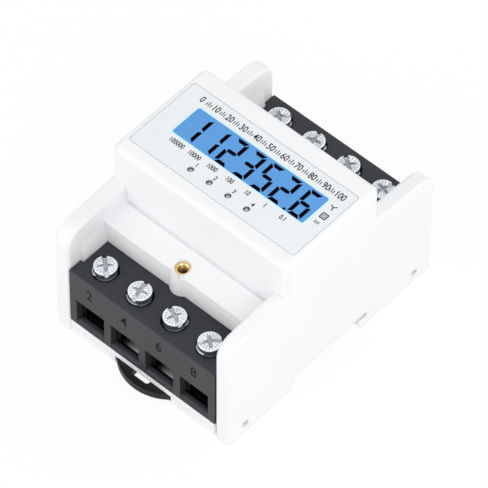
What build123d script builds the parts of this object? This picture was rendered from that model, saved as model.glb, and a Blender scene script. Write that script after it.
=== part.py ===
"""Three-phase energy meter for a 35 mm DIN rail.

X runs along the rail, Y across it and Z out of the panel.
The origin is the middle of the plane where the rail's flanges bear.
The terminals with even numbers are at -Y and those with odd numbers at +Y.
"""
from build123d import *

import os
from math import cos, radians, sin

os.makedirs("parts", exist_ok=True)

# Outer sizes of the meter, in millimetres
body_length = 76.0
body_width = 100.0
face_height = 61.0
foot_drop = 6.0
nose_width = 45.0
nose_corner_round = 2.6
nose_edge_round = 2.2

# White cover
cover_wall = 2.0
cheek_width = 6.0
cheek_end_height = 43.0
cheek_rise = 2.0
cheek_round = 7.0
cheek_edge_round = 0.9
cheek_inner_round = 1.5
shelf_width = 10.5
shelf_height = 38.3
shelf_fall = 2.3
groove_depth = 0.7
groove_width = 1.0
groove_inset = 1.3
assembly_gap = 0.2

# Rail channel
rail_width = 35.0
rail_flange = 1.0
rail_play = 0.3
hook_slot = 1.8
hook_reach = 4.5
hook_slant = 2.2
hook_back = 2.0
channel_slant = 2.6

# Base moulding
base_floor = 2.3
base_ledge = 0.3
seat_plate = 2.0
base_rib = 2.0
foot_setback = 0.4
latch_width = 2.6
latch_height = 2.5
latch_reach = 1.2
latch_blunt = 0.6
latch_play = 0.2
latch_centre_height = -1.85
latch_from_end = 8.3

# Terminal blocks
terminal_count = 4
phase_count = 3
block_drop = 11.6
block_setback = 0.1
block_side_gap = 0.1
block_neck = 1.3
guide_rib_draft = 8.0
block_flange_depth = 5.6
block_edge = 0.4
block_end_wall = 1.575
block_partition = 2.95
mouth_height = 12.0
mouth_depth = 2.3
mouth_lift = 0.65
well_play = 0.65
screw_from_end = 7.8

# Clamps, bent from plated strip
clamp_side_gap = 0.65
clamp_depth = 10.0
clamp_sheet = 1.4
clamp_bend = 2.0
clamp_bore_height = 11.6
clamp_roof = 3.0

# Terminal screws
clamp_thread_wall = 1.5
thread_play = 0.05
head_overhang = 0.1
head_height = 2.3
head_stand = 3.1
screw_travel = 10.0
screw_tip_gap = 0.5
slot_width = 1.2
slot_depth = 1.1
cross_width = 1.0
cross_inset = 1.55
cross_depth = 1.6
front_slot_turns = (64.0, -52.0, 24.0, 82.0)
rear_slot_turns = (75.0, 38.0, 40.0, 20.0)

# Copper bridges, each from a front clamp to the rear one behind it
bar_side_gap = 0.6
bar_thick = 1.5
bar_bend = 2.6
bar_drop = 0.7
bar_leg_gap = 1.1
bar_tip_gap = 0.8

# Current transformers
transformer_gap = 1.05
transformer_depth = 9.0
transformer_height = 19.4
transformer_corner = 3.0
window_play_x = 1.0
window_play_z = 0.75

# Circuit boards and what holds them
board_thick = 1.6
board_side_gap = 0.5
main_board_height = 36.0
display_board_height = 49.4
post_radius = 2.6
post_inset_x = 3.0
post_inset_y = 4.5
post_bore_radius = 1.25
post_bore_depth = 6.0
standoff_across = 5.0
stud_radius = 1.2
stud_length = 6.0
board_hole_radius = 1.35
board_screw_radius = 1.0
board_screw_length = 5.0
board_screw_head_radius = 2.2
board_screw_head_height = 1.4
standoff_bore_radius = 1.05
standoff_web = 1.4

# Parts on the main board
capacitor_length = 18.0
capacitor_width = 7.0
capacitor_top_gap = 1.2
capacitor_corner = 0.8
capacitor_y = 6.0
storage_radius = 5.0
storage_top_gap = 1.0
chip_side = 10.0
chip_height = 1.4
chip_x = -8.0
chip_y = -12.0
link_length = 16.0
link_width = 2.6
link_from_post = 15.0
link_y = -15.0

# Display
view_inset = 7.1
view_width = 13.2
view_centre_y = 1.6
view_corner = 1.2
pane_lap = 0.7
pane_play = 0.1
glass_lap_x = 2.6
glass_lap_y = 3.1
glass_thick = 2.4
holder_wall = 1.6
holder_ledge = 1.0
strip_width = 1.8
strip_inset = 0.4
backlight_gap = 0.3
backlight_thick = 5.0

# Printed front label
label_inset_x = 2.5
label_inset_y = 6.7
label_centre_y = -1.0
label_thick = 0.4
label_recess = 0.5
label_gap = 0.2
label_corner = 0.8

# Indicator lamps
lamp_count = 4
lamp_pitch = 8.05
lamp_centre_x = -0.2
lamp_y = -12.7
lamp_radius = 1.45
lamp_rim_radius = 1.8
lamp_rim_height = 1.0
lamp_body_height = 5.2
lamp_hole_play = 0.15
lamp_top_gap = 0.1
lamp_sight_radius = 1.2
lead_side = 0.5
lead_spread = 2.0

# Threaded inserts that hold the terminal covers
insert_radius = 2.7
insert_bore_radius = 1.65
insert_length = 6.0
insert_from_nose = 7.5
boss_wall = 1.8

# Sprung clip that grips the rail
clip_width = 24.0
clip_thick = 2.8
clip_play = 0.3
clip_gap = 0.2
clip_reach = 4.0
clip_tab_bulge = 4.6
clip_grip = 2.5
clip_nose_width = 20.0
clip_nose_blunt = 0.6
clip_nose_lead = 3.2
clip_nose_root = 1.0
clip_travel = 4.0
clip_slot_width = 7.2
clip_slot_depth = 6.0
clip_slot_from_tip = 2.6
clip_slot_round = 1.0
clip_window_width = 14.0
clip_window_depth = 9.6
clip_window_from_nose = 5.6
clip_stop_width = 10.0
clip_stop_thick = 2.2
clip_lip = 1.5
spring_sheet = 0.4
spring_height = 2.0
spring_gap = 0.1
spring_foot_inset = 0.4

# Places that follow from the sizes above
past = 1.0
hair = 0.01
slight_slope = 0.1
half_length = body_length / 2
half_width = body_width / 2
half_nose = nose_width / 2
cheek_inner = half_length - cheek_width
inner_half_length = half_length - cover_wall
inner_half_nose = half_nose - cover_wall
bay_back = half_nose + shelf_width
bay_wall_inner = bay_back - cover_wall
ceiling = face_height - cover_wall
flange_edge = rail_width / 2
channel_edge = flange_edge + rail_play
channel_mouth = channel_edge + channel_slant
hook_tip = flange_edge - hook_reach
base_half_length = inner_half_length - assembly_gap
base_half_width = half_width - cover_wall - assembly_gap
ledge_half_length = cheek_inner - assembly_gap
floor_underside = base_ledge - base_floor
foot_face = half_width - foot_setback
latch_y = half_width - latch_from_end
latch_top = latch_centre_height + latch_height / 2 - latch_play
latch_foot = latch_centre_height - latch_height / 2 + latch_play
screw_y = half_width - screw_from_end
block_front = half_width - block_setback
block_back = bay_wall_inner + assembly_gap
flange_half = cheek_inner - block_side_gap
neck_half = cheek_inner - block_neck - block_side_gap
block_top = shelf_height - block_drop
mouths_length = 2 * (neck_half - block_end_wall) - (terminal_count - 1) * block_partition
mouth_width = mouths_length / terminal_count
terminal_pitch = mouth_width + block_partition
bar_height = block_top - bar_drop
chamber_front = block_front - mouth_depth
mouth_floor = base_ledge + mouth_lift
mouth_top = mouth_floor + mouth_height
clamp_width = mouth_width - 2 * clamp_side_gap
thread_radius = clamp_width / 2 - clamp_thread_wall - thread_play
head_radius = thread_radius + head_overhang
well_radius = head_radius + well_play
cross_length = 2 * (head_radius - cross_inset)
bar_width = clamp_width - 2 * clamp_sheet - 2 * bar_side_gap
transformer_width = terminal_pitch - transformer_gap
window_width = bar_width + 2 * window_play_x
window_height = bar_thick + 2 * window_play_z
clamp_front = chamber_front - assembly_gap
clamp_middle = clamp_front - clamp_depth / 2
clamp_bore_floor = mouth_floor + clamp_sheet
clamp_top = clamp_bore_floor + clamp_bore_height + clamp_roof
chamber_top = clamp_top + assembly_gap
bar_top = clamp_bore_floor + bar_thick
bar_middle = clamp_bore_floor + bar_thick / 2
bar_leg_y = block_back - bar_leg_gap - bar_thick / 2
bar_tip_y = clamp_front - bar_tip_gap
screw_tip = bar_top + screw_travel + screw_tip_gap
head_top = block_top + head_stand
head_floor = head_top - head_height
post_x = inner_half_length - post_inset_x
post_y = inner_half_nose - post_inset_y
main_board_top = main_board_height + board_thick
display_board_top = display_board_height + board_thick
standoff_length = display_board_height - main_board_top
standoff_bore_depth = standoff_length - standoff_web
capacitor_height = standoff_length - capacitor_top_gap
storage_height = standoff_length - storage_top_gap
link_x = post_x - link_from_post
board_length = 2 * (inner_half_length - board_side_gap)
board_width = 2 * (inner_half_nose - board_side_gap)
label_length = body_length - 2 * label_inset_x
label_width = nose_width - 2 * label_inset_y
view_length = label_length - 2 * view_inset
recess_floor = face_height - label_recess
holder_top = ceiling - assembly_gap
glass_floor = holder_top - glass_thick
glass_length = view_length + 2 * glass_lap_x
glass_width = view_width + 2 * glass_lap_y
holder_length = glass_length + 2 * (pane_play + holder_wall)
holder_width = glass_width + 2 * (pane_play + holder_wall)
pane_length = view_length + 2 * pane_lap
pane_width = view_width + 2 * pane_lap
strip_offset = glass_width / 2 - holder_ledge - strip_inset - strip_width / 2
strip_length = glass_length - 2 * (holder_ledge + strip_inset)
backlight_width = 2 * (strip_offset - strip_width / 2 - backlight_gap)
lamp_top = recess_floor - lamp_top_gap
lamp_floor = lamp_top - lamp_body_height
insert_y = half_nose + insert_from_nose
insert_top = shelf_height - shelf_fall * (insert_from_nose + insert_radius) / shelf_width
boss_radius = insert_radius + boss_wall
clip_half_width = clip_width / 2
guide_x = clip_half_width + clip_play
clip_top = floor_underside - clip_gap
clip_bottom = clip_top - clip_thick
clip_tip_y = -half_width - clip_reach
clip_shoulder_y = clip_tip_y + clip_tab_bulge
clip_root_y = -channel_mouth
clip_nose_y = -flange_edge + clip_grip
clip_nose_top = -rail_flange - clip_gap
clip_window_rear = clip_root_y - clip_window_from_nose
clip_window_front = clip_window_rear - clip_window_depth
clip_stop_front = clip_window_front + clip_gap
clip_stop_rear = clip_stop_front + clip_stop_thick
clip_space_y = clip_root_y - clip_nose_root - clip_travel - clip_play
spring_rear_y = clip_window_rear - spring_gap - spring_sheet / 2
spring_front_y = clip_stop_rear + spring_gap + spring_sheet / 2
spring_half = clip_window_width / 2 - spring_foot_inset - spring_sheet

terminal_xs = [(i - (terminal_count - 1) / 2) * terminal_pitch for i in range(terminal_count)]
lamp_xs = [lamp_centre_x + (i - (lamp_count - 1) / 2) * lamp_pitch for i in range(lamp_count)]
post_places = [(x, y) for y in (-post_y, post_y) for x in (-post_x, post_x)]
sides = (-1, 1)
top_align = (Align.CENTER, Align.CENTER, Align.MAX)
foot_align = (Align.CENTER, Align.CENTER, Align.MIN)


def save(part, name):
    """Label a finished piece and write it to its own file."""
    part.label = name
    export_step(part, f"parts/{name}.step")


def block_between(low, high, mode=Mode.ADD):
    """Box between two opposite corners, in the part being built."""
    size = [b - a for a, b in zip(low, high)]
    middle = tuple((a + b) / 2 for a, b in zip(low, high))
    with Locations(middle):
        Box(*size, mode=mode)


def on_side(side, near, far):
    """Two values on one side of the middle plane, lowest first."""
    return sorted((side * near, side * far))


def slot_direction(turn):
    """Direction of a screw's slot, in degrees from the rail's direction."""
    return (cos(radians(turn)), sin(radians(turn)), 0)


def shelf_at(y):
    """Height of the sloping shelf at a distance from the middle."""
    return shelf_height - shelf_fall * (abs(y) - half_nose) / shelf_width


def insert_bosses():
    """Bosses round the threaded inserts, in the cover being built."""
    foot = block_top + assembly_gap
    with Locations((0, -insert_y, foot), (0, insert_y, foot)):
        Cylinder(boss_radius, shelf_height - foot, align=foot_align)


def cheek_corners(inset, floor):
    """Corners of the cover seen from its end, moved in by a wall."""
    end = half_width - inset
    top = cheek_end_height - inset
    crest = top + cheek_rise
    return [
        (-end, floor),
        (-end, top),
        (-half_nose, crest),
        (half_nose, crest),
        (end, top),
        (end, floor),
    ]


def cheek_radii(inset):
    """Rounding of the inner corners of that outline."""
    shoulder = cheek_round - inset
    return [shoulder, 0, 0, shoulder]


def channel_corners(play):
    """Outline of the rail channel, seen along the rail, widened all round."""
    return [
        (-channel_mouth - play, -foot_drop - past),
        (-channel_mouth - play, -foot_drop),
        (-channel_edge - play, play),
        (channel_edge + play, play),
        (channel_edge + play, -hook_slot - play),
        (hook_tip + play, -hook_slot - play),
        (hook_tip + hook_slant + play, -foot_drop),
        (hook_tip + hook_slant + play, -foot_drop - past),
    ]


# Cover: nose, shelves, terminal bays and hollow cheeks, open below
with BuildPart() as cover:
    with BuildSketch(Plane.YZ):
        with BuildLine():
            FilletPolyline(*cheek_corners(0, -foot_drop), radius=cheek_radii(0))
            Line((half_width, -foot_drop), (-half_width, -foot_drop))
        make_face()
    extrude(amount=half_length, both=True)
    outer_edges = [
        e
        for e in cover.edges()
        if abs(abs(e.position_at(0.5).X) - half_length) < hair
        and e.position_at(0.5).Z > -foot_drop + hair
        and abs(e.tangent_at(0.5).X) < slight_slope
    ]
    fillet(outer_edges, radius=cheek_edge_round)
    block_between(
        (-cheek_inner, -half_width, shelf_height), (cheek_inner, half_width, face_height), Mode.SUBTRACT
    )
    for side in sides:
        low_y, high_y = on_side(side, bay_back, half_width + past)
        block_between(
            (-cheek_inner, low_y, -foot_drop - past), (cheek_inner, high_y, face_height), Mode.SUBTRACT
        )
    # The bosses of the threaded inserts bulge out of the bay walls
    insert_bosses()
    # The cheeks' inner edges are rounded from the nose to the ends
    inner_edges = [
        e
        for e in cover.edges()
        if max(abs(abs(e.position_at(t).X) - cheek_inner) for t in (0, 1)) < hair
        and min(e.position_at(t).Z for t in (0, 1)) > cheek_end_height - cheek_round - hair
    ]
    fillet(inner_edges, radius=cheek_inner_round)
    # Nose with rounded corners and a rounded rim
    with BuildSketch(Plane.XY.offset(shelf_height - cover_wall)):
        RectangleRounded(body_length, nose_width, nose_corner_round)
    extrude(amount=face_height - shelf_height + cover_wall)
    rim = [e for e in cover.edges() if abs(e.position_at(0.5).Z - face_height) < hair]
    fillet(rim, radius=nose_edge_round)
    # Hollow inside the nose and below the shelves
    block_between(
        (-inner_half_length, -inner_half_nose, -foot_drop - past),
        (inner_half_length, inner_half_nose, ceiling),
        Mode.SUBTRACT,
    )
    with BuildSketch(Plane.YZ):
        Polygon(
            (-bay_wall_inner, -foot_drop - past),
            (-bay_wall_inner, shelf_at(bay_wall_inner) - cover_wall),
            (-inner_half_nose, shelf_at(inner_half_nose) - cover_wall),
            (inner_half_nose, shelf_at(inner_half_nose) - cover_wall),
            (bay_wall_inner, shelf_at(bay_wall_inner) - cover_wall),
            (bay_wall_inner, -foot_drop - past),
            align=None,
        )
    extrude(amount=inner_half_length, both=True, mode=Mode.SUBTRACT)
    # Hollow inside each cheek, and room for the base below
    for side in sides:
        with BuildSketch(Plane.YZ.offset(side * (cheek_inner + cover_wall))):
            with BuildLine():
                FilletPolyline(
                    *cheek_corners(cover_wall, -foot_drop - past),
                    radius=cheek_radii(cover_wall),
                )
                Line(
                    (half_width - cover_wall, -foot_drop - past),
                    (-half_width + cover_wall, -foot_drop - past),
                )
            make_face()
        extrude(amount=side * (cheek_width - 2 * cover_wall), mode=Mode.SUBTRACT)
    block_between(
        (-inner_half_length, -half_width + cover_wall, -foot_drop - past),
        (inner_half_length, half_width - cover_wall, base_ledge + assembly_gap),
        Mode.SUBTRACT,
    )
    for side in sides:
        low_y, high_y = on_side(side, bay_wall_inner - past, bay_back + past)
        block_between(
            (-cheek_inner, low_y, -foot_drop - past),
            (cheek_inner, high_y, block_top + assembly_gap),
            Mode.SUBTRACT,
        )
    # Rail channel through both side walls
    with BuildSketch(Plane.YZ):
        Polygon(*channel_corners(0), align=None)
    extrude(amount=half_length + past, both=True, mode=Mode.SUBTRACT)
    # Label recess, display opening and lamp holes in the face
    with BuildSketch(Plane.XY.offset(recess_floor)):
        with Locations((0, label_centre_y)):
            RectangleRounded(
                label_length + 2 * label_gap, label_width + 2 * label_gap, label_corner + label_gap
            )
    extrude(amount=label_recess + past, mode=Mode.SUBTRACT)
    block_between(
        (-pane_length / 2 - pane_play, view_centre_y - pane_width / 2 - pane_play, ceiling - past),
        (pane_length / 2 + pane_play, view_centre_y + pane_width / 2 + pane_play, face_height),
        Mode.SUBTRACT,
    )
    with BuildSketch(Plane.XY.offset(ceiling - past)):
        with Locations(*[(x, lamp_y) for x in lamp_xs]):
            Circle(lamp_radius + lamp_hole_play)
    extrude(amount=cover_wall + past, mode=Mode.SUBTRACT)
    # The bosses reach into the hollow, and end with the shelves' slope
    insert_bosses()
    for side in sides:
        with BuildSketch(Plane.YZ):
            Polygon(
                (side * half_nose, shelf_height),
                (side * half_nose, face_height),
                (side * (bay_back + past), face_height),
                (side * (bay_back + past), shelf_at(bay_back + past)),
                align=None,
            )
        extrude(amount=cheek_inner, both=True, mode=Mode.SUBTRACT)
    # Grooves along the foot of the nose
    for side in sides:
        low_y, high_y = on_side(side, half_nose, half_nose + groove_width)
        block_between(
            (-cheek_inner + groove_inset, low_y, shelf_height - groove_depth),
            (cheek_inner - groove_inset, high_y, shelf_height + past),
            Mode.SUBTRACT,
        )
    with BuildSketch(Plane.XY.offset(insert_top - insert_length)):
        with Locations((0, -insert_y), (0, insert_y)):
            Circle(insert_radius)
    extrude(amount=insert_length + cover_wall + past, mode=Mode.SUBTRACT)
    for side in sides:
        for end in sides:
            # Snap window for the base
            low_x, high_x = on_side(side, inner_half_length - past, half_length + past)
            block_between(
                (low_x, end * latch_y - latch_width / 2, latch_centre_height - latch_height / 2),
                (high_x, end * latch_y + latch_width / 2, latch_centre_height + latch_height / 2),
                Mode.SUBTRACT,
            )
            # Guide rib beside the narrow part of the terminal block, its top sloping up to the cheek
            low_y, high_y = on_side(end, bay_back - past, half_width - block_flange_depth - assembly_gap)
            with BuildSketch(Plane.XZ.offset(-high_y)):
                Polygon(
                    (side * cheek_inner, base_ledge + assembly_gap),
                    (side * (cheek_inner - block_neck), base_ledge + assembly_gap),
                    (side * (cheek_inner - block_neck), block_top),
                    (side * cheek_inner, block_top + guide_rib_draft),
                    align=None,
                )
            extrude(amount=high_y - low_y)
save(cover.part, "cover")

# Base: floor, seat for the rail, feet, posts and latches
with BuildPart() as base:
    with BuildSketch(Plane.YZ):
        Polygon(
            (-base_half_width, floor_underside),
            (-base_half_width, base_ledge),
            (-channel_edge - seat_plate, base_ledge),
            (-channel_edge - seat_plate, seat_plate),
            (channel_edge + seat_plate, seat_plate),
            (channel_edge + seat_plate, base_ledge),
            (base_half_width, base_ledge),
            (base_half_width, floor_underside),
            (channel_edge + hook_back, floor_underside),
            (channel_edge + hook_back, -foot_drop),
            (hook_tip + hook_slant, -foot_drop),
            (hook_tip, -hook_slot),
            (channel_edge, -hook_slot),
            (channel_edge, 0),
            (-channel_edge, 0),
            (-channel_mouth, -foot_drop),
            (-channel_mouth - base_rib, -foot_drop),
            (-channel_mouth - base_rib, floor_underside),
            align=None,
        )
    extrude(amount=base_half_length, both=True)
    for side in sides:
        # Ledge that carries the terminal block, and the foot below it
        low_y, high_y = on_side(side, base_half_width - past, half_width)
        block_between(
            (-ledge_half_length, low_y, floor_underside), (ledge_half_length, high_y, base_ledge)
        )
        low_y, high_y = on_side(side, foot_face - base_rib, foot_face)
        block_between(
            (-ledge_half_length, low_y, -foot_drop), (ledge_half_length, high_y, floor_underside)
        )
        # Ribs along the sides
        low_x, high_x = on_side(side, base_half_length - base_rib, base_half_length)
        for end in sides:
            low_y, high_y = on_side(end, channel_mouth, base_half_width)
            block_between((low_x, low_y, -foot_drop), (high_x, high_y, floor_underside))
    # Ribs across the rear part
    for i in (-1, 0, 1):
        middle_x = i * terminal_pitch
        block_between(
            (middle_x - base_rib / 2, channel_edge, -foot_drop),
            (middle_x + base_rib / 2, foot_face - past, floor_underside),
        )
    # Way for the clip through the front foot and the channel's front wall
    block_between(
        (-guide_x, -half_width - past, -foot_drop - past),
        (guide_x, -channel_edge, floor_underside),
        Mode.SUBTRACT,
    )
    block_between(
        (-clip_nose_width / 2 - clip_play, clip_space_y, floor_underside - past),
        (clip_nose_width / 2 + clip_play, -channel_edge, clip_nose_top + clip_gap),
        Mode.SUBTRACT,
    )
    for side in sides:
        low_x, high_x = on_side(side, guide_x, guide_x + base_rib)
        block_between((low_x, -foot_face, -foot_drop), (high_x, -channel_mouth, floor_underside))
        low_x, high_x = on_side(side, guide_x - clip_lip, guide_x)
        block_between(
            (low_x, -foot_face, -foot_drop), (high_x, clip_space_y, clip_bottom - clip_gap)
        )
    # Stop inside the clip's window
    block_between(
        (-clip_stop_width / 2, clip_stop_front, clip_bottom - clip_gap),
        (clip_stop_width / 2, clip_stop_rear, floor_underside),
    )
    # Posts for the boards
    with BuildSketch(Plane.XY.offset(seat_plate)):
        with Locations(*post_places):
            Circle(post_radius)
    extrude(amount=main_board_height - seat_plate)
    with BuildSketch(Plane.XY.offset(main_board_height - post_bore_depth)):
        with Locations(*post_places):
            Circle(post_bore_radius)
    extrude(amount=post_bore_depth, mode=Mode.SUBTRACT)
    # Latches with a sloping upper side
    for side in sides:
        for end in sides:
            with BuildSketch(Plane.XZ.offset(-end * latch_y - latch_width / 2 + latch_play)):
                Polygon(
                    (side * (base_half_length - base_rib), latch_top),
                    (side * base_half_length, latch_top),
                    (side * (base_half_length + latch_reach), latch_foot + latch_blunt),
                    (side * (base_half_length + latch_reach), latch_foot),
                    (side * (base_half_length - base_rib), latch_foot),
                    align=None,
                )
            extrude(amount=latch_width - 2 * latch_play)
save(base.part, "base")

# Terminal blocks, one at each end
for side, name in zip(sides, ("front_terminal_block", "rear_terminal_block")):
    with BuildPart() as block:
        low_y, high_y = on_side(side, block_front - block_flange_depth, block_front)
        block_between((-flange_half, low_y, base_ledge), (flange_half, high_y, block_top))
        top_edges = block.edges().group_by(Axis.Z)[-1]
        fillet(top_edges, radius=block_edge)
        low_y, high_y = on_side(side, block_back, block_front - past)
        block_between((-neck_half, low_y, base_ledge), (neck_half, high_y, block_top))
        for x in terminal_xs:
            low_x, high_x = x - mouth_width / 2, x + mouth_width / 2
            low_y, high_y = on_side(side, chamber_front - past, block_front + past)
            block_between((low_x, low_y, mouth_floor), (high_x, high_y, mouth_top), Mode.SUBTRACT)
            low_y, high_y = on_side(side, block_back - past, chamber_front)
            block_between((low_x, low_y, mouth_floor), (high_x, high_y, chamber_top), Mode.SUBTRACT)
            with Locations((x, side * screw_y, block_top)):
                Cylinder(
                    well_radius,
                    block_top - chamber_top + past,
                    align=top_align,
                    mode=Mode.SUBTRACT,
                )
    save(block.part, name)

# Clamps and screws: even numbers at the front, odd ones at the rear
for side, first, turns in ((-1, 2, front_slot_turns), (1, 1, rear_slot_turns)):
    for i, x in enumerate(terminal_xs):
        number = first + 2 * i
        with BuildPart() as clamp:
            with BuildSketch(Plane.XZ.offset(-side * clamp_middle)):
                with Locations((x, (mouth_floor + clamp_top) / 2)):
                    RectangleRounded(clamp_width, clamp_top - mouth_floor, clamp_bend)
                with Locations((x, clamp_bore_floor + clamp_bore_height / 2)):
                    RectangleRounded(
                        clamp_width - 2 * clamp_sheet,
                        clamp_bore_height,
                        clamp_bend - clamp_sheet,
                        mode=Mode.SUBTRACT,
                    )
            extrude(amount=clamp_depth / 2, both=True)
            with Locations((x, side * screw_y, clamp_top + past)):
                Cylinder(
                    thread_radius + thread_play,
                    clamp_roof + 2 * past,
                    align=top_align,
                    mode=Mode.SUBTRACT,
                )
        save(clamp.part, f"terminal_clamp_{number}")

        with BuildPart(Plane((x, side * screw_y, 0), x_dir=slot_direction(turns[i]))) as screw:
            with Locations((0, 0, head_floor)):
                Cylinder(thread_radius, head_floor - screw_tip, align=top_align)
            with Locations((0, 0, head_floor)):
                Cylinder(head_radius, head_height, align=foot_align)
            with Locations((0, 0, head_top)):
                Box(2 * head_radius + past, slot_width, 2 * slot_depth, mode=Mode.SUBTRACT)
                Box(cross_length, cross_width, 2 * cross_depth, mode=Mode.SUBTRACT)
                Box(cross_width, cross_length, 2 * cross_depth, mode=Mode.SUBTRACT)
        save(screw.part, f"terminal_screw_{number}")

# Bridges: three phases and the neutral
bar_names = ("phase_bar_1", "phase_bar_2", "phase_bar_3", "neutral_bar")
for x, name in zip(terminal_xs, bar_names):
    with BuildPart() as bar:
        with BuildSketch(Plane.YZ.offset(x)):
            with BuildLine():
                FilletPolyline(
                    (-bar_tip_y, bar_middle),
                    (-bar_leg_y, bar_middle),
                    (-bar_leg_y, bar_height),
                    (bar_leg_y, bar_height),
                    (bar_leg_y, bar_middle),
                    (bar_tip_y, bar_middle),
                    radius=bar_bend,
                )
            trace(line_width=bar_thick)
        extrude(amount=bar_width / 2, both=True)
    save(bar.part, name)

# Current transformers round the three phase bars
for i in range(phase_count):
    x = terminal_xs[i]
    with BuildPart() as transformer:
        with BuildSketch(Plane.XZ):
            with Locations((x, main_board_height - transformer_height / 2)):
                RectangleRounded(transformer_width, transformer_height, transformer_corner)
            with Locations((x, bar_height)):
                Rectangle(window_width, window_height, mode=Mode.SUBTRACT)
        extrude(amount=transformer_depth / 2, both=True)
    save(transformer.part, f"current_transformer_{i + 1}")

# Boards on the posts and the standoffs
for height, name in (
    (main_board_height, "main_board"),
    (display_board_height, "display_board"),
):
    with BuildPart() as board:
        with BuildSketch(Plane.XY.offset(height)):
            Rectangle(board_length, board_width)
            with Locations(*post_places):
                Circle(board_hole_radius, mode=Mode.SUBTRACT)
        extrude(amount=board_thick)
    save(board.part, name)

for number, (x, y) in enumerate(post_places, 1):
    with BuildPart(Plane((x, y, main_board_top))) as standoff:
        with BuildSketch(Plane((x, y, main_board_top))):
            RegularPolygon(standoff_across / 2, 6, major_radius=False)
        extrude(amount=standoff_length)
        Cylinder(stud_radius, stud_length, align=top_align)
        with Locations((0, 0, standoff_length)):
            Cylinder(
                standoff_bore_radius, standoff_bore_depth, align=top_align, mode=Mode.SUBTRACT
            )
    save(standoff.part, f"standoff_{number}")

    with BuildPart(Plane((x, y, display_board_top))) as board_screw:
        Cylinder(board_screw_radius, board_screw_length, align=top_align)
        Cylinder(board_screw_head_radius, board_screw_head_height, align=foot_align)
    save(board_screw.part, f"board_screw_{number}")

# Parts soldered on the main board
for i in range(phase_count):
    with BuildPart() as capacitor:
        block_between(
            (terminal_xs[i] - capacitor_width / 2, capacitor_y - capacitor_length / 2, main_board_top),
            (
                terminal_xs[i] + capacitor_width / 2,
                capacitor_y + capacitor_length / 2,
                main_board_top + capacitor_height,
            ),
        )
        fillet(capacitor.edges().filter_by(Axis.Z), radius=capacitor_corner)
    save(capacitor.part, f"dropper_capacitor_{i + 1}")

with BuildPart(Plane((terminal_xs[-1], capacitor_y, main_board_top))) as storage:
    Cylinder(storage_radius, storage_height, align=foot_align)
save(storage.part, "storage_capacitor")

with BuildPart(Plane((chip_x, chip_y, main_board_top))) as chip:
    Box(chip_side, chip_side, chip_height, align=foot_align)
save(chip.part, "metering_chip")

with BuildPart(Plane((link_x, link_y, main_board_top))) as link:
    Box(link_length, link_width, standoff_length, align=foot_align)
save(link.part, "board_link")

# Display: holder, glass, contact strips, backlight and the pane above
with BuildPart(Plane((0, view_centre_y, display_board_top))) as holder:
    Box(holder_length, holder_width, holder_top - display_board_top, align=foot_align)
    Box(
        glass_length - 2 * holder_ledge,
        glass_width - 2 * holder_ledge,
        holder_top - display_board_top,
        align=foot_align,
        mode=Mode.SUBTRACT,
    )
    with Locations((0, 0, glass_floor - display_board_top)):
        Box(
            glass_length + 2 * pane_play,
            glass_width + 2 * pane_play,
            glass_thick + past,
            align=foot_align,
            mode=Mode.SUBTRACT,
        )
save(holder.part, "lcd_holder")

with BuildPart(Plane((0, view_centre_y, glass_floor))) as glass:
    Box(glass_length, glass_width, glass_thick, align=foot_align)
save(glass.part, "lcd_panel")

for number, side in enumerate(sides, 1):
    with BuildPart(Plane((0, view_centre_y + side * strip_offset, display_board_top))) as strip:
        Box(strip_length, strip_width, glass_floor - display_board_top, align=foot_align)
    save(strip.part, f"contact_strip_{number}")

with BuildPart(Plane((0, view_centre_y, display_board_top))) as backlight:
    Box(strip_length, backlight_width, backlight_thick, align=foot_align)
save(backlight.part, "backlight")

with BuildPart(Plane((0, view_centre_y, holder_top))) as pane:
    Box(pane_length, pane_width, recess_floor - holder_top, align=foot_align)
save(pane.part, "display_window")

with BuildPart() as label:
    with BuildSketch(Plane.XY.offset(recess_floor)):
        with Locations((0, label_centre_y)):
            RectangleRounded(label_length, label_width, label_corner)
        with Locations((0, view_centre_y)):
            RectangleRounded(view_length, view_width, view_corner, mode=Mode.SUBTRACT)
        with Locations(*[(x, lamp_y) for x in lamp_xs]):
            Circle(lamp_sight_radius, mode=Mode.SUBTRACT)
    extrude(amount=label_thick)
save(label.part, "front_label")

# Indicator lamps on their leads
for number, x in enumerate(lamp_xs, 1):
    with BuildPart(Plane((x, lamp_y, lamp_floor))) as lamp:
        Cylinder(lamp_radius, lamp_body_height, align=foot_align)
        Cylinder(lamp_rim_radius, lamp_rim_height, align=foot_align)
        with Locations((-lead_spread / 2, 0), (lead_spread / 2, 0)):
            Box(lead_side, lead_side, lamp_floor - display_board_top, align=top_align)
    save(lamp.part, f"indicator_led_{number}")

# Threaded inserts in the shelves
for side, name in zip(sides, ("front_insert", "rear_insert")):
    with BuildPart(Plane((0, side * insert_y, insert_top))) as insert:
        Cylinder(insert_radius, insert_length, align=top_align)
        Cylinder(insert_bore_radius, insert_length, align=top_align, mode=Mode.SUBTRACT)
    save(insert.part, name)

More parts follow.
